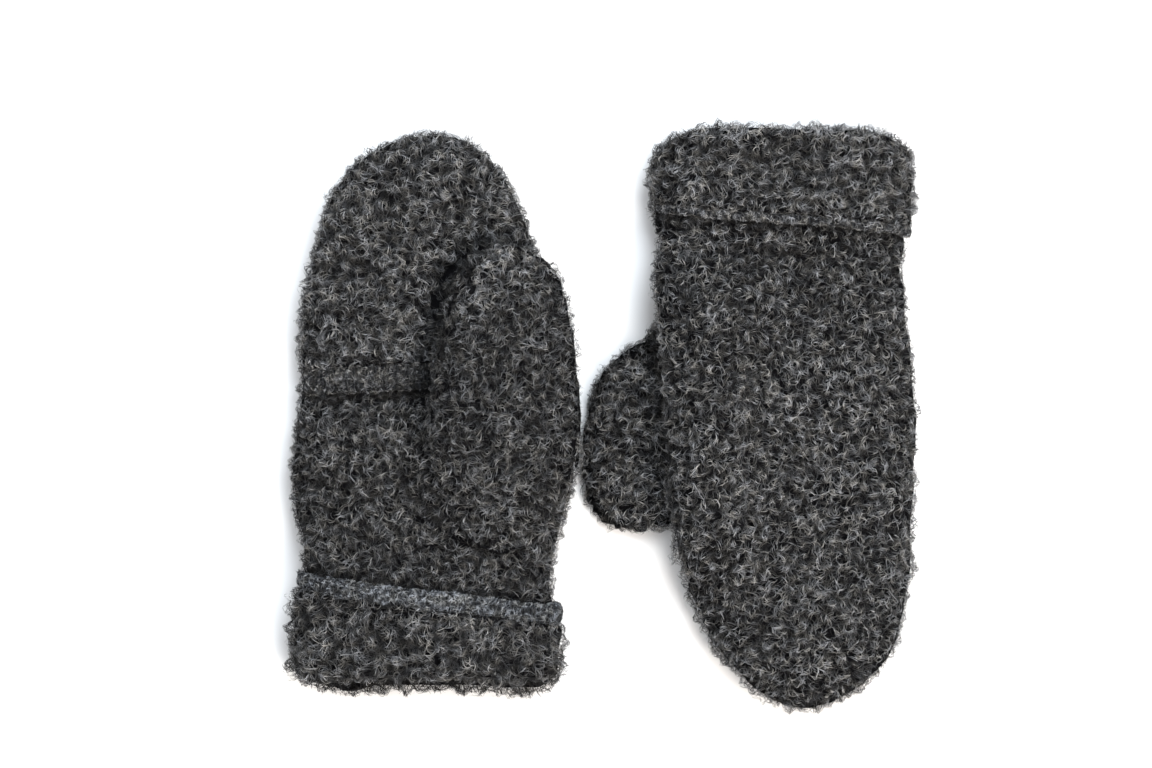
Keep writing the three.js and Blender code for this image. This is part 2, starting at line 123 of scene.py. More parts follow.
SHAGGY = Pile(
    tuft=3.9 * MM, pull=(0, 0.4), segments=4, length=(2.8 * MM, 5.2 * MM), turn=(0.6, 2.8), height=1.5 * MM,
    knot=2.0 * MM, width=0.15 * MM, density=2.0e6, stray=0.05, comb=0, tone=1.0,
)
CURLY = Pile(
    tuft=3.1 * MM, pull=(0, 0.4), segments=3, length=(2.2 * MM, 4.4 * MM), turn=(0.6, 2.6), height=1.3 * MM,
    knot=1.7 * MM, width=0.145 * MM, density=2.4e6, stray=0.05, comb=0, tone=1.06,
)
DENSE = Pile(
    tuft=2.6 * MM, pull=(0, 0.4), segments=3, length=(2.0 * MM, 4.0 * MM), turn=(0.4, 2.2), height=1.2 * MM,
    knot=1.3 * MM, width=0.145 * MM, density=2.4e6, stray=0.05, comb=0, tone=1.0,
)
HEM = Pile(
    tuft=1.5 * MM, pull=(0, 0.2), segments=2, length=(0.9 * MM, 2.0 * MM), turn=(0.2, 1.2), height=0.6 * MM,
    knot=0.2 * MM, width=0.13 * MM, density=7.0e6, stray=0.03, comb=0.5, tone=1.0,
)
LOCK = 2  # strands that grow side by side
LOCK_SPREAD = 0.12 * MM
PILES = {
    "back_panel": DENSE,
    "palm_panel": DENSE,
    "finger_flap": CURLY,
    "flap_band": HEM,
    "thumb_front": DENSE,
    "thumb_back": DENSE,
    "cuff_palm": CURLY,
    "cuff_back": CURLY,
    "cuff_band_palm": HEM,
    "cuff_band_back": HEM,
}
BAND_OF = {"finger_flap": "flap_band", "cuff_palm": "cuff_band_palm", "cuff_back": "cuff_band_back"}

# How light each piece's pile is, where that differs from the rest
TONES = {
    ("right_hand", "flap_band"): 1.0,
    ("right_hand", "palm_panel"): 0.93,
    ("right_hand", "thumb_front"): 0.9,
    ("right_hand", "cuff_palm"): 0.97,
    # the lower ply under the fold at the mouth is darkened: painted shade under the ply above it
    ("right_hand", "cuff_back"): 0.5,
    ("right_hand", "cuff_band_palm"): 1.45,
    ("left_hand", "thumb_back"): 1.02,
    ("left_hand", "cuff_band_back"): 1.3,
    ("left_hand", "back_panel"): 1.03,
    ("left_hand", "cuff_back"): 0.97,
    ("left_hand", "cuff_palm"): 0.8,
}

# Painted shade: the pile's tone is darkened along the edge of a piece that lies over it: what shades what,
# within this reach
SHADED_BY = {
    "finger_flap": ("thumb_front", "thumb_back"),
    "flap_band": ("thumb_front",),
    "palm_panel": ("flap_band", "cuff_band_palm"),
    "back_panel": ("cuff_band_back",),
    "thumb_back": ("back_panel",),
    "thumb_front": ("back_panel",),
}
SHADE_REACH = 4.5 * MM
SHADE_DEPTH = 0.88
THUMB_SHADE_FROM = (54 * MM, 72 * MM)  # from the mouth, on the thumb that comes out from under the hand
TIP_HIGHLIGHT = 0.9  # painted highlight: the rim of the upper thumb's tip is made lighter on the side towards the flap
TIP_WAY = (-0.5, 0.85, 0)
TIP_FROM = (98 * MM, 108 * MM)  # from the mouth
FOLD_REACH = 7 * MM  # painted highlight: the pile at the fold at the mouth is made lighter this far
FOLD_HIGHLIGHT = 0.45
BAND_REACH = 6 * MM  # the pile is shorter and finer this near to a band
BAND_TRIM = 0.65

# Soft swellings of the outline, in millimetres: the pieces whose names start so, the middle, the half
# sizes along X and Y, and the height, which is negative where the outline draws in
BULGES = {
    "right_hand": [
        ("", (-6, -4), (9, 20), 0.7),
        ("", (-84.5, -19.5), (8, 11), 0.5),
        ("", (-82.6, -44), (6, 4), -1.2),
        ("", (-12, -52), (6, 4), 1.0),
        ("", (-10, -67), (6, 6), -1.3),
        ("", (-8, -17), (8, 8), 1.0),
        ("", (-25, 62), (8, 14), -0.9),
        ("cuff_palm", (-46, -78), (34, 10), -2.4),
        ("cuff_back", (-46, -78), (34, 10), -0.9),
        ("cuff_back", (-70, -79), (3.5, 5), 1.6),
    ],
    "left_hand": [
        ("palm", (14.8, 34), (6, 15), 3.4),
        ("back", (14.8, 34), (6, 15), 3.4),
        ("thumb", (-1, -25), (10, 9), 1.1),
        ("cuff", (56, 79), (24, 8), -1.0),
        ("thumb", (2, -8), (26, 36), 2.6),
        ("", (84, 0), (6, 48), 0.9),
        ("", (60, -78), (20, 12), 1.1),
        ("cuff", (14, 62), (6, 12), -0.8),
    ],
}

# The right mitten's mouth dips in the middle, its palm half more than its back half
MOUTH_DIPS = {"palm": 2.6 * MM, "back": 1.6 * MM}
DIP_HALF_WIDTH = 32 * MM
DIP_REACH = 14 * MM

# Creases, in millimetres from the middle of the cuff and from the mouth: where each starts and ends,
# how far it bows to its left, its half width and its depth, which is negative for a ridge
CREASES = {
    ("right_hand", "upper"): [
        ((12, 122), (1, 88), -3, 4.4, 3.0),
        ((4, 109), (25, 129), 2, 2.6, 3.0),
        ((3, 83), (-24, 81), 0, 3.0, 1.2),
        ((3, 86), (-6, 80), 0, 4.0, 1.8),
        ((-33, 59), (-20, 55), 1, 2.0, 1.0),
        ((-12, 66), (4, 48), 2, 4.5, 1.0),
        ((-30, 42), (26, 40), -1, 3.0, 1.2),
        ((-20, 112), (-8, 130), 2, 4.0, 0.8),
        ((-28, 96), (-14, 104), 1, 3.0, 0.7),
        ((-26, 70), (-12, 74), -1, 4.0, -0.6),
        ((-22, 6), (20, 5), 1, 2.4, 0.8),
        ((-30, 22), (-8, 20), 1, 3.0, 0.5),
    ],
    ("right_hand", "lower"): [
        ((-30, 42), (26, 43), 2, 3.0, 0.7),
        ((-18, 60), (-6, 84), 3, 4.0, 0.6),
        ((8, 96), (22, 110), 2, 4.0, 0.6),
        ((-20, 120), (2, 128), -2, 3.4, 0.5),
    ],
    ("left_hand", "upper"): [
        ((-33, 33), (30, 38), 0, 3.2, 1.6),
        ((-33, 37), (-18, 46), 2, 3.6, 1.4),
        ((-10, 40), (2, 66), 3, 4.5, 0.7),
        ((12, 44), (24, 70), -2, 4.0, 0.7),
        ((-26, 70), (-22, 100), -2, 3.4, -0.6),
        ((-8, 84), (12, 96), 2, 4.6, 0.7),
        ((0, 118), (14, 136), 2, 4.2, 0.7),
        ((-20, 110), (-14, 126), 1, 3.2, 0.6),
        ((-26, 12), (10, 10), 1, 2.6, 0.7),
    ],
    ("left_hand", "lower"): [
        ((-30, 38), (24, 36), 2, 3.0, 0.7),
        ((8, 62), (20, 88), 3, 4.0, 0.6),
        ((-4, 100), (12, 118), 2, 4.0, 0.6),
        ((0, 132), (14, 144), -2, 3.4, 0.5),
    ],
}

# The flat size that each piece is cut to: width, length and area, in millimetres
CUTS = {
    "right_hand": {
        "back_panel": (88, 157, 10500),
        "palm_panel": (86, 95, 6400),
        "finger_flap": (80, 68, 3900),
        "thumb_front": (50, 90, 2950),
        "thumb_back": (44, 62, 2250),
        "cuff_palm": (84, 32, 1950),
        "cuff_back": (84, 34, 2150),
    },
    "left_hand": {
        "back_panel": (84, 162, 10100),
        "palm_panel": (84, 98, 6600),
        "finger_flap": (80, 71, 4150),
        "thumb_front": (46, 78, 2200),
        "thumb_back": (40, 50, 1550),
        "cuff_palm": (82, 34, 2200),
        "cuff_back": (82, 32, 1950),
    },
}


# Numbers and meshes

def smooth_step(low, high, value):
    share = np.clip((value - low) / (high - low), 0, 1)
    return share * share * (3 - 2 * share)


def unit(vectors):
    return vectors / np.maximum(np.linalg.norm(vectors, axis=-1, keepdims=True), 1e-9)


def apply_modifiers(piece):
    depsgraph = bpy.context.evaluated_depsgraph_get()
    piece.data = bpy.data.meshes.new_from_object(piece.evaluated_get(depsgraph))
    piece.modifiers.clear()


def mesh_points(mesh):
    points = np.empty(len(mesh.vertices) * 3, np.float32)
    mesh.vertices.foreach_get("co", points)
    return points.reshape(-1, 3)


def mesh_normals(mesh):
    normals = np.empty(len(mesh.vertices) * 3, np.float32)
    mesh.vertex_normals.foreach_get("vector", normals)
    return normals.reshape(-1, 3)


def mesh_triangles(mesh):
    mesh.calc_loop_triangles()
    corners = np.empty(len(mesh.loop_triangles) * 3, np.int32)
    mesh.loop_triangles.foreach_get("vertices", corners)
    return corners.reshape(-1, 3)


def move_points(mesh, points):
    mesh.vertices.foreach_set("co", points.astype(np.float32).ravel())
    mesh.update()


def spread_out(mesh, values, rounds):
    """Values at the vertices, averaged with their neighbours"""
    edges = np.empty(len(mesh.edges) * 2, np.int32)
    mesh.edges.foreach_get("vertices", edges)
    first, second = edges.reshape(-1, 2).T
    degree = np.bincount(edges, minlength=len(values))
    for _ in range(rounds):
        total = np.bincount(first, values[second], len(values))
        total = total + np.bincount(second, values[first], len(values))
        values = (values + total) / (1 + degree)
    return values


def widened(mesh, values):
    """Values at the vertices, each the highest that it or a neighbour has"""
    edges = np.empty(len(mesh.edges) * 2, np.int32)
    mesh.edges.foreach_get("vertices", edges)
    first, second = edges.reshape(-1, 2).T
    wider = values.copy()
    np.maximum.at(wider, first, values[second])
    np.maximum.at(wider, second, values[first])
    return wider


def lumps(points):
    """Soft uneven lumps, in metres, at points in space"""
    total = np.zeros(len(points))
    for size, height in LUMPS:
        total += height * np.array([noise.noise(Vector(point)) for point in points / size])
    return total


# Cloth shells

def cloth_shell(node, voxel):
    """The node's closed wall with its facets rounded off, as a new object"""
    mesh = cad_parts[node].data.copy()
    mesh.materials.clear()
    shell = bpy.data.objects.new(f"{node}_cloth", mesh)
    bpy.context.scene.collection.objects.link(shell)
    work = bmesh.new()
    work.from_mesh(mesh)
    bmesh.ops.remove_doubles(work, verts=work.verts, dist=MERGE_DISTANCE)
    bmesh.ops.join_triangles(
        work, faces=work.faces, angle_face_threshold=FACET_ANGLE, angle_shape_threshold=FACET_SKEW
    )
    crease = work.edges.layers.float.new("crease_edge")
    for edge in work.edges:
        if edge.is_manifold and edge.calc_face_angle() > SHARP_ANGLE:
            edge[crease] = RIM_CREASE
    work.to_mesh(mesh)
    work.free()
    shell.modifiers.new("rounded", "SUBSURF").levels = 2
    even = shell.modifiers.new("even", "REMESH")
    even.mode = "VOXEL"
    even.voxel_size = voxel
    shell.modifiers.new("soft", "SMOOTH").iterations = 4
    apply_modifiers(shell)
    shell.data.shade_smooth()
    return shell


def obstacle_tree(shells):
    """The cloth of some pieces, for finding what covers a point or lies near it"""
    points, triangles, first = [], [], 0
    for shell in shells:
        places = mesh_points(shell.data)
        points.append(places)
        triangles.append(mesh_triangles(shell.data) + first)
        first += len(places)
    return BVHTree.FromPolygons(np.concatenate(points).tolist(), np.concatenate(triangles).tolist())


def open_shares(mesh, tree):
    """1 where the cloth looks out into the open, 0 where its own mitten covers it straight ahead, straight
    up or down, and between the two"""
    points, normals = mesh_points(mesh), mesh_normals(mesh)
    starts = points + normals * RAY_START
    vertical = np.sign(normals[:, 2:]) * [[0, 0, 1]]
    rays = np.stack([normals, normals + RAY_LEAN * vertical, vertical], axis=1)
    shares = np.ones(len(points))
    for i, (start, directions) in enumerate(zip(starts, rays)):
        if all(tree.ray_cast(Vector(start), Vector(way), COVER_REACH)[0] for way in directions):
            shares[i] = 0
    return spread_out(mesh, shares, SHARE_ROUNDS)


def own_places(hand, points):
    """Places across a mitten from the middle of its cuff, and along it from its mouth"""
    low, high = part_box(f"{hand}_cuff_back")
    mouth = low[1] if ALONG_SIGN[hand] > 0 else high[1]
    return points[:, 0] - (low[0] + high[0]) / 2, (points[:, 1] - mouth) * ALONG_SIGN[hand]


def crease_depths(hand, side, points):
    across, along = own_places(hand, points)
    total = np.zeros(len(points))
    for start, end, bow, half_width, depth in CREASES[hand, side]:
        start, end = np.array(start) * MM, np.array(end) * MM
        run = end - start
        length = np.linalg.norm(run)
        run = run / length
        offset = np.stack([across, along], axis=1) - start
        share = np.clip(offset @ run / length, 0, 1)
        beside = offset @ np.array([-run[1], run[0]]) - bow * MM * 4 * share * (1 - share)
        past = offset @ run - share * length
        distance = np.hypot(beside, past) / (half_width * MM)
        total += depth * MM * np.exp(-distance ** 2) * (0.45 + 0.55 * np.sin(math.pi * share))
    return total


def outline_bulges(hand, part, points):
    total = np.zeros(len(points))
    for pieces, middle, half_sizes, height in BULGES[hand]:
        if part.startswith(pieces):
            offset = (points[:, :2] / MM - middle) / half_sizes
            total += height * MM * np.exp(-(offset ** 2).sum(1))
    return total


def mouth_dip(hand, part, points):
    """How far the cloth moves in from the mouth"""
    half = "palm" if "palm" in part else "back" if "back" in part else ""
    if hand != "right_hand" or not half or part.startswith("thumb"):
        return 0
    across, along = own_places(hand, points)
    middle = np.exp(-(across / DIP_HALF_WIDTH) ** 2)
    return MOUTH_DIPS[half] * middle * (1 - smooth_step(0, DIP_REACH, along))


def nearness(pieces, places, reach):
    """0 further than the reach from some pieces, rising to 1 at them"""
    tree = obstacle_tree(pieces)
    near = np.zeros(len(places))
    for i, place in enumerate(places):
        distance = tree.find_nearest(Vector(place), reach)[3]
        if distance is not None:
            near[i] = (1 - distance / reach) ** 1.5
    return near


def shape_ground(shell, hand, part, shares):
    """Sinks the open side of a piece to its knitted ground, and gives it creases and soft lumps"""
    points, normals = mesh_points(shell.data), mesh_normals(shell.data)
    is_band = PILES[part] is HEM
    resting = smooth_step(-0.3, -0.8, normals[:, 2]) * smooth_step(4 * MM, 1 * MM, points[:, 2])
    sideways = smooth_step(0.7, 0.2, np.abs(normals[:, 2]))
    depth = (BAND_DEPTH if is_band else GROUND_DEPTH) * (1 - (1 - RESTING_SHARE) * resting)
    depth = depth * (1 - (1 - SIDE_DEPTH_SHARE) * sideways)
    depth = depth - lumps(points) * (0.4 if is_band else 1.0) * (1 - resting)
    upper = smooth_step(0.1, 0.5, normals[:, 2])
    lower = smooth_step(-0.1, -0.5, normals[:, 2])
    depth = depth + crease_depths(hand, "upper", points) * upper
    depth = depth + crease_depths(hand, "lower", points) * lower
    step = -normals * (depth * shares)[:, None]
    level = unit(normals * [[1, 1, 0]])
    step += level * (outline_bulges(hand, part, points) * sideways * shares)[:, None]
    if part in BAND_OF:
        free = ALONG_SIGN[hand] * (-1 if part.startswith("cuff") else 1)
        towards_band = np.clip(-free * normals[:, 1], 0, 1)
        step[:, 1] = np.where(towards_band > 0, 0, step[:, 1]) - free * RIM_REACH * towards_band
    step[:, 1] += mouth_dip(hand, part, points)
    move_points(shell.data, points + step)


def swell(low_piece, high_piece, hand, swelling, shares):
    """Raises a piece beside a higher one that it is sewn to, so that one runs softly into the other"""
    _, _, side, reach, share, full, gone = swelling
    tree = obstacle_tree([high_piece])
    points, crown = mesh_points(low_piece.data), mesh_points(high_piece.data)
    sign = side * PALM_SIGN[hand]
    bins = np.floor((crown[:, 1] - crown[:, 1].min()) / HEIGHT_BIN).astype(int)
    tops = np.full(bins.max() + 1, -1.0)
    near_edge = np.abs(crown[:, 0] - points[:, 0].mean()) < np.ptp(points[:, 0]) / 2
    np.maximum.at(tops, bins[near_edge], sign * crown[near_edge, 2])
    bin_places = crown[:, 1].min() + HEIGHT_BIN * (np.arange(len(tops)) + 0.5)
    height = np.maximum(0, np.interp(points[:, 1], bin_places, tops) - sign * points[:, 2])
    _, along = own_places(hand, points)
    fade = shares * (1 - smooth_step(full, gone, along))
    fade = fade * smooth_step(0, 0.4, sign * mesh_normals(low_piece.data)[:, 2])
    raised = np.zeros(len(points))
    for i in np.flatnonzero(fade > 0.05):
        distance = tree.find_nearest(Vector(points[i]), reach)[3]
        if distance is not None:
            raised[i] = share * height[i] * (1 - distance / reach) ** 2 * fade[i]
    points[:, 2] += sign * spread_out(low_piece.data, raised, 3)
    move_points(low_piece.data, points)


# Pile

def scattered(rng, mesh, shares, density):
    """Random places on the open side of a piece with their normals, fewest where it faces down"""
    points, normals, triangles = mesh_points(mesh), mesh_normals(mesh), mesh_triangles(mesh)
    corners = points[triangles]
    sides = corners[:, 1:] - corners[:, :1]
    area = np.linalg.norm(np.cross(sides[:, 0], sides[:, 1]), axis=1) / 2
    up = normals[triangles][:, :, 2].mean(1)
    facing = UNDER_SHARE + (SIDE_SHARE - UNDER_SHARE) * smooth_step(-0.85, -0.35, up)
    facing = facing + (1 - SIDE_SHARE) * smooth_step(0.1, 0.6, up)
    open_face = np.clip(shares[triangles].mean(1) * 1.6 - 0.4, 0, 1)
    expected = area * facing * open_face * density
    count = int(expected.sum())
    chosen = triangles[rng.choice(len(triangles), count, p=expected / expected.sum())]
    a, b = rng.random((2, count))
    a, b = np.where(a + b > 1, 1 - a, a), np.where(a + b > 1, 1 - b, b)
    weights = np.stack([1 - a - b, a, b], axis=1)[:, :, None]
    return (points[chosen] * weights).sum(1), unit((normals[chosen] * weights).sum(1))


def spaced_out(places, spacing):
    """The places kept so that no two lie closer than the spacing"""
    cells, kept = {}, []
    near = [(i, j, k) for i in (-1, 0, 1) for j in (-1, 0, 1) for k in (-1, 0, 1)]
    for number, (place, cell) in enumerate(zip(places, np.floor(places / spacing).astype(int))):
        cells_near = [tuple(cell + step) for step in near]
        around = [n for key in cells_near for n in cells.get(key, ())]
        if around and np.linalg.norm(places[around] - place, axis=1).min() < spacing:
            continue
        cells.setdefault(tuple(cell), []).append(number)
        kept.append(number)
    return places[kept]


def tuft_tree(centres):
    tree = KDTree(len(centres))
    for number, centre in enumerate(centres):
        tree.insert(centre, number)
    tree.balance()
    return tree


def nearest(places, tree):
    """For each place the number of the nearest centre, and how far off it is"""
    found = [tree.find(place) for place in places]
    return np.array([match[1] for match in found]), np.array([match[2] for match in found])


def surface_axes(normals):
    """Two directions along the surface for each normal, the second along Y where the surface faces up"""
    helper = np.where(np.abs(normals[:, 1:2]) > 0.9, [[1.0, 0.0, 0.0]], [[0.0, 1.0, 0.0]])
    across = unit(np.cross(helper, normals))
    return across, np.cross(normals, across)


def profile(values, steps):
    return np.interp(steps, np.linspace(0, 1, len(values)), values)


def strand_spines(rng, pile, places, normals, centres, tree, tuft, stray, trim):
    """The points along the strands, from their roots in the ground to their tips, lock after lock, the
    way that each point faces, and its share of a tuft's height, which is 0 between the tufts"""
    count, tufts = len(places), len(centres)
    sideways = smooth_step(0.7, 0.2, np.abs(normals[:, 2]))
    offset = places - centres[tuft]
    across, along = surface_axes(normals)
    out_angle = np.arctan2((offset * along).sum(1), (offset * across).sum(1))
    tuft_angle = rng.uniform(-math.pi, math.pi, tufts)[tuft]
    tuft_turn = rng.choice([-1.0, 1.0], tufts)[tuft]
    tuft_height = rng.uniform(0.55, 1.3, tufts)
    leaning = np.stack([
        0.7 * np.exp(1j * out_angle),
        0.5 * np.exp(1j * (out_angle + tuft_turn * math.pi / 2)),
        0.9 * np.exp(1j * tuft_angle),
        0.9 * np.exp(1j * rng.uniform(-math.pi, math.pi, count)),
        pile.comb * np.exp(1j * rng.choice([-1.0, 1.0], count) * math.pi / 2),
    ])
    start_angle = np.angle(leaning.sum(0)) - tuft_turn * 0.5
    turn = tuft_turn * rng.uniform(*pile.turn, count) * np.where(rng.random(count) < 0.25, -1, 1)
    length = rng.uniform(*pile.length, count) * np.where(stray, 1.3, 1) * (0.4 + 0.6 * trim)
    height = pile.height * rng.uniform(0.4, 1.15, count)
    height = height * np.where(stray, rng.uniform(1.2, 1.7, count), 1) * (1 - 0.15 * sideways) * trim
    turn = np.where(stray, turn * 0.6, turn)

    in_lock = np.repeat(np.arange(count), LOCK)
    count = len(in_lock)
    start_angle = start_angle[in_lock] + rng.normal(0, 0.25, count)
    turn = turn[in_lock] * rng.uniform(0.7, 1.3, count)
    length = length[in_lock] * rng.uniform(0.8, 1.1, count)
    height = height[in_lock] * rng.uniform(0.8, 1.1, count)
    places, normals, across, along = places[in_lock], normals[in_lock], across[in_lock], along[in_lock]
    places = places + rng.normal(0, LOCK_SPREAD, count)[:, None] * across
    places = places + rng.normal(0, LOCK_SPREAD, count)[:, None] * along
    steps = np.arange(pile.segments + 1) / pile.segments
    angle = start_angle[:, None] + turn[:, None] * (steps[None, :-1] + 0.5 / pile.segments)
    angle = angle + rng.normal(0, 0.2, angle.shape)
    stride = (length / pile.segments)[:, None]
    run = np.concatenate([np.zeros((count, 1)), np.cumsum(np.cos(angle) * stride, 1)], 1)
    drift = np.concatenate([np.zeros((count, 1)), np.cumsum(np.sin(angle) * stride, 1)], 1)
    run, drift = run - ROOT_SHARE * run[:, -1:], drift - ROOT_SHARE * drift[:, -1:]
    spines = places[:, None, :] + run[:, :, None] * across[:, None, :]
    spines = spines + drift[:, :, None] * along[:, None, :]

    near, distance = nearest(spines.reshape(-1, 3), tree)
    near, distance = near.reshape(count, -1), distance.reshape(count, -1)
    knot = smooth_step(KNOT_EDGE, KNOT_TOP, distance / (pile.tuft * rng.uniform(0.7, 1.3, tufts)[near]))
    rise = height[:, None] * profile(RISE_PROFILE, steps) * (0.45 + 0.55 * knot)
    rise = rise + pile.knot * knot * tuft_height[near] * trim[in_lock][:, None]
    rise = rise + rng.normal(0, 0.08 * MM, rise.shape)
    away = (spines - centres[near]) / (0.5 * pile.tuft)
    facing = normals[:, None, :] + 0.9 * away + rng.normal(0, 0.35, spines.shape)
    facing[:, :, 2] += SIDE_FACING * sideways[in_lock][:, None]
    spines = spines + rise[:, :, None] * normals[:, None, :]
    spines[:, :, 2] = np.maximum(spines[:, :, 2], FLOOR_CLEARANCE)
    return spines, unit(facing), knot


def strand_tones(rng, hand, pile, knot, normals, centres, tuft, stray):
    """How light the strands are along their length: charcoal, grey and pale ones, with painted shade
    between the tufts, towards the roots and in the creases, and painted light on the ridges and the steep
    sides"""
    count = len(normals)
    kind = rng.random(count)
    tone = np.where(kind < 0.34, rng.normal(0.29, 0.07, count), rng.normal(0.59, 0.1, count))
    tone = np.where(kind > 0.81, rng.normal(0.9, 0.1, count), tone)
    tone = tone * (1 + rng.normal(0, 0.08, len(centres)))[tuft] + np.where(stray, 0.1, 0)
    lumpy = 1 + 0.08 * lumps(centres)[tuft] / LUMPS[0][1]
    upper = crease_depths(hand, "upper", centres)[tuft] * smooth_step(0.1, 0.5, normals[:, 2])
    lower = crease_depths(hand, "lower", centres)[tuft] * smooth_step(-0.1, -0.5, normals[:, 2])
    # painted shade: darker where the ground is creased; painted light: lighter on the ridges
    painted_crease_shade = np.clip(1 - 0.16 * (upper + lower) / MM, 0.5, 1.15)
    # painted rim light: strands on the steep sides are made lighter
    sideways = 1 + 0.45 * smooth_step(0.6, 0.1, np.abs(normals[:, 2]))
    tone = np.repeat(tone * lumpy * painted_crease_shade * sideways, LOCK) * rng.uniform(0.8, 1.2, count * LOCK)
    steps = np.linspace(0, 1, knot.shape[1])
    # painted shade: darker between the tufts and towards the roots, where the pile is deep
    shade = (0.45 + 0.6 * knot) * (0.62 + 0.48 * np.minimum(1, steps * 1.6)) * pile.tone
    return np.clip(tone[:, None] * shade, 0.02, 1)


def strand_mesh(name, spines, facing, widths, tones):
    """Strands as narrow curved strips that end in a point, joined into one mesh"""
    count, points = spines.shape[0], spines.shape[1]
    ends = np.concatenate([spines[:, 1:], 2 * spines[:, -1:] - spines[:, -2:-1]], 1)
    starts = np.concatenate([2 * spines[:, :1] - spines[:, 1:2], spines[:, :-1]], 1)
    sides = unit(np.cross(unit(ends - starts), facing))
    half = widths[:, None] * profile(STRAND_PROFILE, np.linspace(0, 1, points))[None, :-1] / 2
    body, body_sides = spines[:, :-1], sides[:, :-1] * half[:, :, None]
    pairs = np.stack([body + body_sides, body - body_sides], axis=2).reshape(count, -1, 3)
    corners = np.concatenate([pairs, spines[:, -1:]], axis=1)
    in_strand = corners.shape[1]
    quads = [(2 * k, 2 * k + 1, 2 * k + 3, 2 * k + 2) for k in range(points - 2)]
    tip = (in_strand - 3, in_strand - 2, in_strand - 1)
    loop = np.array([corner for face in quads for corner in face] + list(tip))
    loops = (np.arange(count)[:, None] * in_strand + loop[None, :]).ravel()
    face_starts = np.array([4 * k for k in range(len(quads) + 1)])
    starts_of_faces = (np.arange(count)[:, None] * len(loop) + face_starts[None, :]).ravel()

    mesh = bpy.data.meshes.new(name)
    mesh.vertices.add(count * in_strand)
    corners = np.maximum(corners, [-1, -1, FLOOR_CLEARANCE / 2])
    mesh.vertices.foreach_set("co", corners.astype(np.float32).ravel())
    mesh.loops.add(len(loops))
    mesh.loops.foreach_set("vertex_index", loops.astype(np.int32))
    mesh.polygons.add(len(starts_of_faces))
    mesh.polygons.foreach_set("loop_start", starts_of_faces.astype(np.int32))
    mesh.update(calc_edges=True)
    mesh.shade_smooth()

    vertex_tones = np.concatenate([np.repeat(tones[:, :-1], 2, axis=1), tones[:, -1:]], axis=1)
    attribute = mesh.attributes.new("tone", "FLOAT", "POINT")
    attribute.data.foreach_set("value", vertex_tones.astype(np.float32).ravel())

    # Each strand has a small cell of its own in the unwrapped square
    cells = math.ceil(math.sqrt(count))
    cell = np.arange(count)
    u_corner = np.append(np.repeat(np.arange(points - 1), 2), points - 1) / (points - 1)
    v_corner = np.append(np.tile([0.0, 1.0], points - 1), 0.5)
    u = ((cell % cells)[:, None] + 0.1 + 0.8 * u_corner[None, loop]) / cells
    v = ((cell // cells)[:, None] + 0.15 + 0.7 * v_corner[None, loop]) / cells
    layer = mesh.uv_layers.new(name="OFBake")
    layer.data.foreach_set("uv", np.stack([u, v], axis=2).astype(np.float32).ravel())
    piece = bpy.data.objects.new(name, mesh)
    bpy.context.scene.collection.objects.link(piece)
    return piece


def grow_pile(rng, hand, part, pile, shell, shares, covering, band):
    """The pile on the open side of one piece of cloth: with painted shade beside the pieces that cover it,
    painted highlights on the upper thumb's tip and along the fold at the mouth, and shorter beside the band
    sewn to it"""
    density = pile.density * 1
    for _ in range(SEAM_ROUNDS):
        shares = widened(shell.data, shares)
    candidates, _ = scattered(rng, shell.data, shares, CANDIDATES)
    centres = spaced_out(candidates, TUFT_SPACING * pile.tuft)
    places, normals = scattered(rng, shell.data, shares, density)
    most = TRIANGLES_A_PIECE // (2 * pile.segments - 1) // LOCK
    places, normals = places[:most], normals[:most]
    tree = tuft_tree(centres)
    tuft, _ = nearest(places, tree)
    places = places + (centres[tuft] - places) * rng.uniform(*pile.pull, (len(places), 1))
    stray = rng.random(len(places)) < pile.stray
    trim = np.ones(len(places))
    if band:
        trim = 1 - BAND_TRIM * nearness([band], places, BAND_REACH)
    spines, facing, knot = strand_spines(rng, pile, places, normals, centres, tree, tuft, stray, trim)
    sideways = smooth_step(0.6, 0.1, np.abs(normals[:, 2]))
    widths = np.repeat(pile.width * np.where(stray, 0.6, 1) * (1 - 0.4 * sideways), LOCK)
    widths = widths * rng.uniform(0.7, 1.2, len(widths))
    tones = strand_tones(rng, hand, pile, knot, normals, centres, tuft, stray)
    level = np.full(len(places), TONES.get((hand, part), 1.0))
    _, along = own_places(hand, places)
    # painted shade beside the pieces that cover this one
    if covering:
        shade = SHADE_DEPTH * nearness(covering, places, SHADE_REACH)
        if part.startswith("thumb"):
            shade = shade * smooth_step(*THUMB_SHADE_FROM, along)
        level *= 1 - shade
    # painted highlight on the rim of the upper thumb's tip, on the side towards the flap
    if (hand, part) == ("right_hand", "thumb_front"):
        level *= 1 + TIP_HIGHLIGHT * smooth_step(0, 0.35, normals @ TIP_WAY) * smooth_step(*TIP_FROM, along)
    # painted highlight along the fold at the mouth
    if (hand, part) in (("right_hand", "cuff_palm"), ("left_hand", "cuff_back")):
        level *= 1 + FOLD_HIGHLIGHT * (1 - smooth_step(0, FOLD_REACH, along))
    tones = np.clip(tones * np.repeat(level, LOCK)[:, None], 0.02, 1)
    return strand_mesh(f"{hand}_{part}_pile", spines, facing, widths, tones)


# Materials

def add_node(tree, kind, inputs=(), **settings):
    node = tree.nodes.new(kind)
    for name, value in settings.items():
        setattr(node, name, value)
    for name, value in dict(inputs).items():
        if isinstance(value, bpy.types.NodeSocket):
            tree.links.new(value, node.inputs[name])
        else:
            node.inputs[name].default_value = value
    return node


def new_material(name, roughness, sheen):
    material = bpy.data.materials.new(name)
    material.use_nodes = True
    shader = material.node_tree.nodes["Principled BSDF"]
    shader.inputs["Roughness"].default_value = roughness
    shader.inputs["Specular IOR Level"].default_value = 0.03
    shader.inputs["Sheen Weight"].default_value = sheen
    shader.inputs["Sheen Roughness"].default_value = 0.6
    return material, material.node_tree, shader


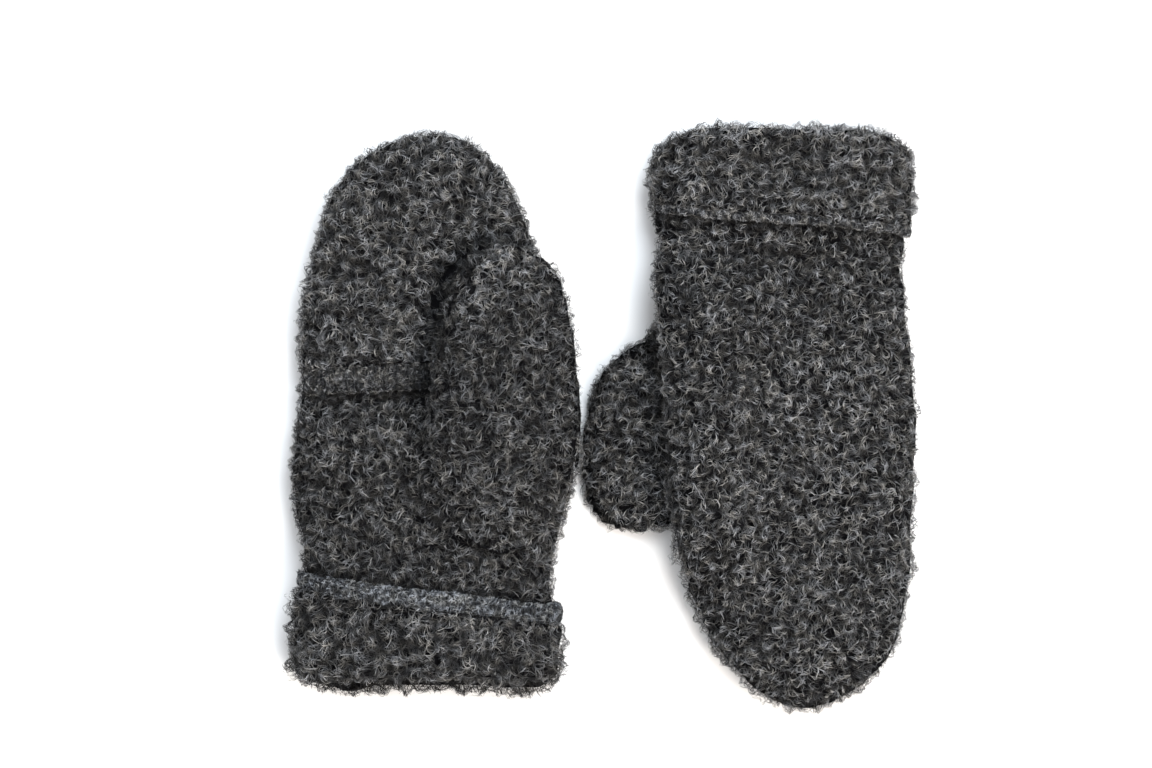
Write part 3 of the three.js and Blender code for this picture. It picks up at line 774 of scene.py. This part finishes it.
def colour_ramp(tree, value, stops):
    ramp = add_node(tree, "ShaderNodeValToRGB", {"Fac": value})
    elements = ramp.color_ramp.elements
    while len(elements) < len(stops):
        elements.new(0.5)
    for element, (place, colour) in zip(elements, stops):
        element.position = place
        element.color = (*colour, 1)
    return ramp.outputs["Color"]


def pile_material(name, tint):
    """Charcoal heather wool: each strand has its own tone, and the heather drifts from cool to warm"""
    material, tree, shader = new_material(name, 0.9, 0.03)
    tone = add_node(tree, "ShaderNodeAttribute", attribute_name="tone").outputs["Fac"]
    place = add_node(tree, "ShaderNodeTexCoord").outputs["Object"]
    drift = add_node(tree, "ShaderNodeTexNoise", {"Vector": place, "Scale": 420.0, "Detail": 3.0})
    broad = add_node(tree, "ShaderNodeTexNoise", {"Vector": place, "Scale": 34.0, "Detail": 2.0})
    shade = add_node(
        tree, "ShaderNodeMapRange", {"Value": broad.outputs["Fac"], "To Min": 0.84, "To Max": 1.16}
    )
    toned = add_node(
        tree, "ShaderNodeMath", {0: tone, 1: shade.outputs["Result"]}, operation="MULTIPLY"
    )
    stops = ((0.0, 0.004), (0.2, 0.017), (0.4, 0.053), (0.6, 0.122), (0.8, 0.22), (1.0, 0.34))
    cool = colour_ramp(tree, toned.outputs["Value"], [
        (stop, (0.98 * grey * tint[0], grey * tint[1], 1.05 * grey * tint[2])) for stop, grey in stops
    ])
    warm = colour_ramp(tree, toned.outputs["Value"], [
        (stop, (1.03 * grey * tint[0], grey * tint[1], 0.95 * grey * tint[2])) for stop, grey in stops
    ])
    side = add_node(
        tree, "ShaderNodeMapRange", {"Value": drift.outputs["Fac"], "From Min": 0.42, "From Max": 0.6}
    )
    colour = add_node(
        tree, "ShaderNodeMix", {0: side.outputs["Result"], 6: cool, 7: warm}, data_type="RGBA"
    )
    tree.links.new(colour.outputs[2], shader.inputs["Base Color"])
    return material


def ground_material():
    """The dark knitted ground under the pile, with matted fibres over its stitches; its near-black is partly
    the charcoal knit and partly painted shade of the depth under the pile
    """
    material, tree, shader = new_material("wool_ground", 0.95, 0.0)
    place = add_node(tree, "ShaderNodeTexCoord").outputs["Object"]
    matted = add_node(
        tree, "ShaderNodeTexNoise", {"Vector": place, "Scale": 900.0, "Detail": 4.0, "Distortion": 2.0}
    )
    tufts = add_node(tree, "ShaderNodeTexVoronoi", {"Vector": place, "Scale": 430.0})
    mixed = add_node(
        tree, "ShaderNodeMath", {0: matted.outputs["Fac"], 1: tufts.outputs["Distance"]}, operation="SUBTRACT"
    )
    colour = colour_ramp(tree, mixed.outputs["Value"], [
        (0.0, (0.003, 0.003, 0.0035)), (0.3, (0.008, 0.008, 0.009)), (0.6, (0.03, 0.03, 0.031)),
    ])
    bump = add_node(
        tree, "ShaderNodeBump", {"Height": mixed.outputs["Value"], "Strength": 0.9, "Distance": 0.6 * MM}
    )
    tree.links.new(colour, shader.inputs["Base Color"])
    tree.links.new(bump.outputs["Normal"], shader.inputs["Normal"])
    return material


def band_material():
    """Close knit: fine columns of stitches across the band, slightly bluer than the pile"""
    material, tree, shader = new_material("knit_edge", 0.9, 0.0)
    place = add_node(tree, "ShaderNodeTexCoord").outputs["Object"]
    columns = add_node(
        tree, "ShaderNodeTexWave", {"Vector": place, "Scale": 320.0, "Distortion": 1.2, "Detail": 2.0},
        bands_direction="X",
    )
    fibres = add_node(
        tree, "ShaderNodeTexNoise", {"Vector": place, "Scale": 1400.0, "Detail": 3.0, "Distortion": 1.0}
    )
    relief = add_node(
        tree, "ShaderNodeMath", {0: columns.outputs["Fac"], 1: fibres.outputs["Fac"]}, operation="MULTIPLY"
    )
    colour = colour_ramp(tree, relief.outputs["Value"], [
        (0.0, (0.004, 0.004, 0.005)), (0.35, (0.014, 0.015, 0.017)), (0.8, (0.045, 0.048, 0.053)),
    ])
    bump = add_node(
        tree, "ShaderNodeBump", {"Height": relief.outputs["Value"], "Strength": 0.8, "Distance": 0.4 * MM}
    )
    tree.links.new(colour, shader.inputs["Base Color"])
    tree.links.new(bump.outputs["Normal"], shader.inputs["Normal"])
    return material


# Pieces

def dress_mitten(hand, number, materials):
    shells, shares, piles = {}, {}, {}
    for part in PARTS:
        shells[part] = cloth_shell(f"{hand}_{part}", BAND_VOXEL if PILES[part] is HEM else CLOTH_VOXEL)
    tree = obstacle_tree(shells.values())
    for part, shell in shells.items():
        shares[part] = open_shares(shell.data, tree)
    for part, shell in shells.items():
        shape_ground(shell, hand, part, shares[part])
    for swelling in SWELLINGS:
        low_part, high_part = swelling[:2]
        if swelling[2] * PALM_SIGN[hand] > 0:
            swell(shells[low_part], shells[high_part], hand, swelling, shares[low_part])
    for index, part in enumerate(PARTS):
        rng = np.random.default_rng(1000 * number + index)
        kind = "band" if PILES[part] is HEM else "pile"
        pile = SHAGGY if hand == "right_hand" and part in ("cuff_palm", "cuff_back") else PILES[part]
        covering = [shells[other] for other in SHADED_BY.get(part, ())]
        if part.startswith("thumb") and hand == "right_hand":
            covering = []
        band = shells.get(BAND_OF.get(part))
        piles[part] = grow_pile(rng, hand, part, pile, shells[part], shares[part], covering, band)
        fuzz = "band" if (hand, part) == ("right_hand", "cuff_band_palm") else "pile"
        piles[part].data.materials.append(materials[fuzz])
        shells[part].data.materials.append(materials[f"{kind}_ground"])
        for piece in (shells[part], piles[part]):
            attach(piece, "root")
        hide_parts(f"{hand}_{part}")
    declare_sheets(hand, shells, piles)


def declare_sheets(hand, shells, piles):
    """Goes through the size that each piece of cloth was cut to and gathers its pile and the band sewn to its
    edge, but does nothing more with them
    """
    for part, (width, length, area) in CUTS[hand].items():
        carried = [piles[part]]
        if part in BAND_OF:
            carried += [shells[BAND_OF[part]], piles[BAND_OF[part]]]


# Stage

def make_stage():
    material, tree, shader = new_material("pale_floor", 0.9, 0.0)
    place = add_node(tree, "ShaderNodeTexCoord").outputs["Object"]
    grain = add_node(tree, "ShaderNodeTexNoise", {"Vector": place, "Scale": 40.0, "Detail": 2.0})
    colour = colour_ramp(tree, grain.outputs["Fac"], [(0.3, (0.9, 0.9, 0.905)), (0.7, (0.92, 0.92, 0.92))])
    tree.links.new(colour, shader.inputs["Base Color"])
    half = 3.0
    corners = [(-half, -half, 0), (half, -half, 0), (half, half, 0), (-half, half, 0)]
    mesh = bpy.data.meshes.new("floor")
    mesh.from_pydata(corners, [], [(0, 1, 2, 3)])
    mesh.materials.append(material)
    floor = bpy.data.objects.new("floor", mesh)
    floor.location.z = -0.05 * MM
    bpy.context.scene.collection.objects.link(floor)


def add_area_light(name, place, target, size, energy, colour):
    light = bpy.data.lights.new(name, "AREA")
    light.shape = "DISK"
    light.size = size
    light.energy = energy
    light.color = colour
    lamp = bpy.data.objects.new(name, light)
    lamp.location = place
    lamp.rotation_euler = (Vector(target) - Vector(place)).to_track_quat("-Z", "Y").to_euler()
    bpy.context.scene.collection.objects.link(lamp)


def make_light():
    world = bpy.data.worlds.new("studio")
    world.use_nodes = True
    background = world.node_tree.nodes["Background"]
    background.inputs["Color"].default_value = (0.97, 0.98, 1.0, 1)
    background.inputs["Strength"].default_value = 0.85
    bpy.context.scene.world = world
    add_area_light("window", (0.3, 0.6, 1.1), (0, 0, 0), 0.7, 16.0, (0.87, 0.94, 1.0))
    add_area_light("room", (0.6, -0.5, 0.9), (0, 0, 0), 0.7, 13.0, (1.0, 0.9, 0.8))
    bpy.context.scene.view_settings.view_transform = "Standard"


def make_camera():
    """Looks straight down. The photograph's frame is 312.4 mm wide at the height of the cloth."""
    frame_width = 312.4 * MM
    cloth_height = 14 * MM
    height = 750 * MM
    camera = bpy.data.cameras.new("camera")
    camera.sensor_width = 36
    camera.lens = camera.sensor_width * (height - cloth_height) / frame_width
    camera.clip_start = 0.01
    holder = bpy.data.objects.new("camera", camera)
    holder.location = (-7.3 * MM, 9.2 * MM, height)
    bpy.context.scene.collection.objects.link(holder)
    bpy.context.scene.camera = holder


make_camera()
make_light()
make_stage()
shared_materials = {
    "pile": pile_material("wool_pile", (1, 1, 1)),
    "band": pile_material("knit_fuzz", (0.95, 1, 1.06)),
    "pile_ground": ground_material(),
    "band_ground": band_material(),
}
for hand_number, hand_name in enumerate(HANDS):
    dress_mitten(hand_name, hand_number, shared_materials)
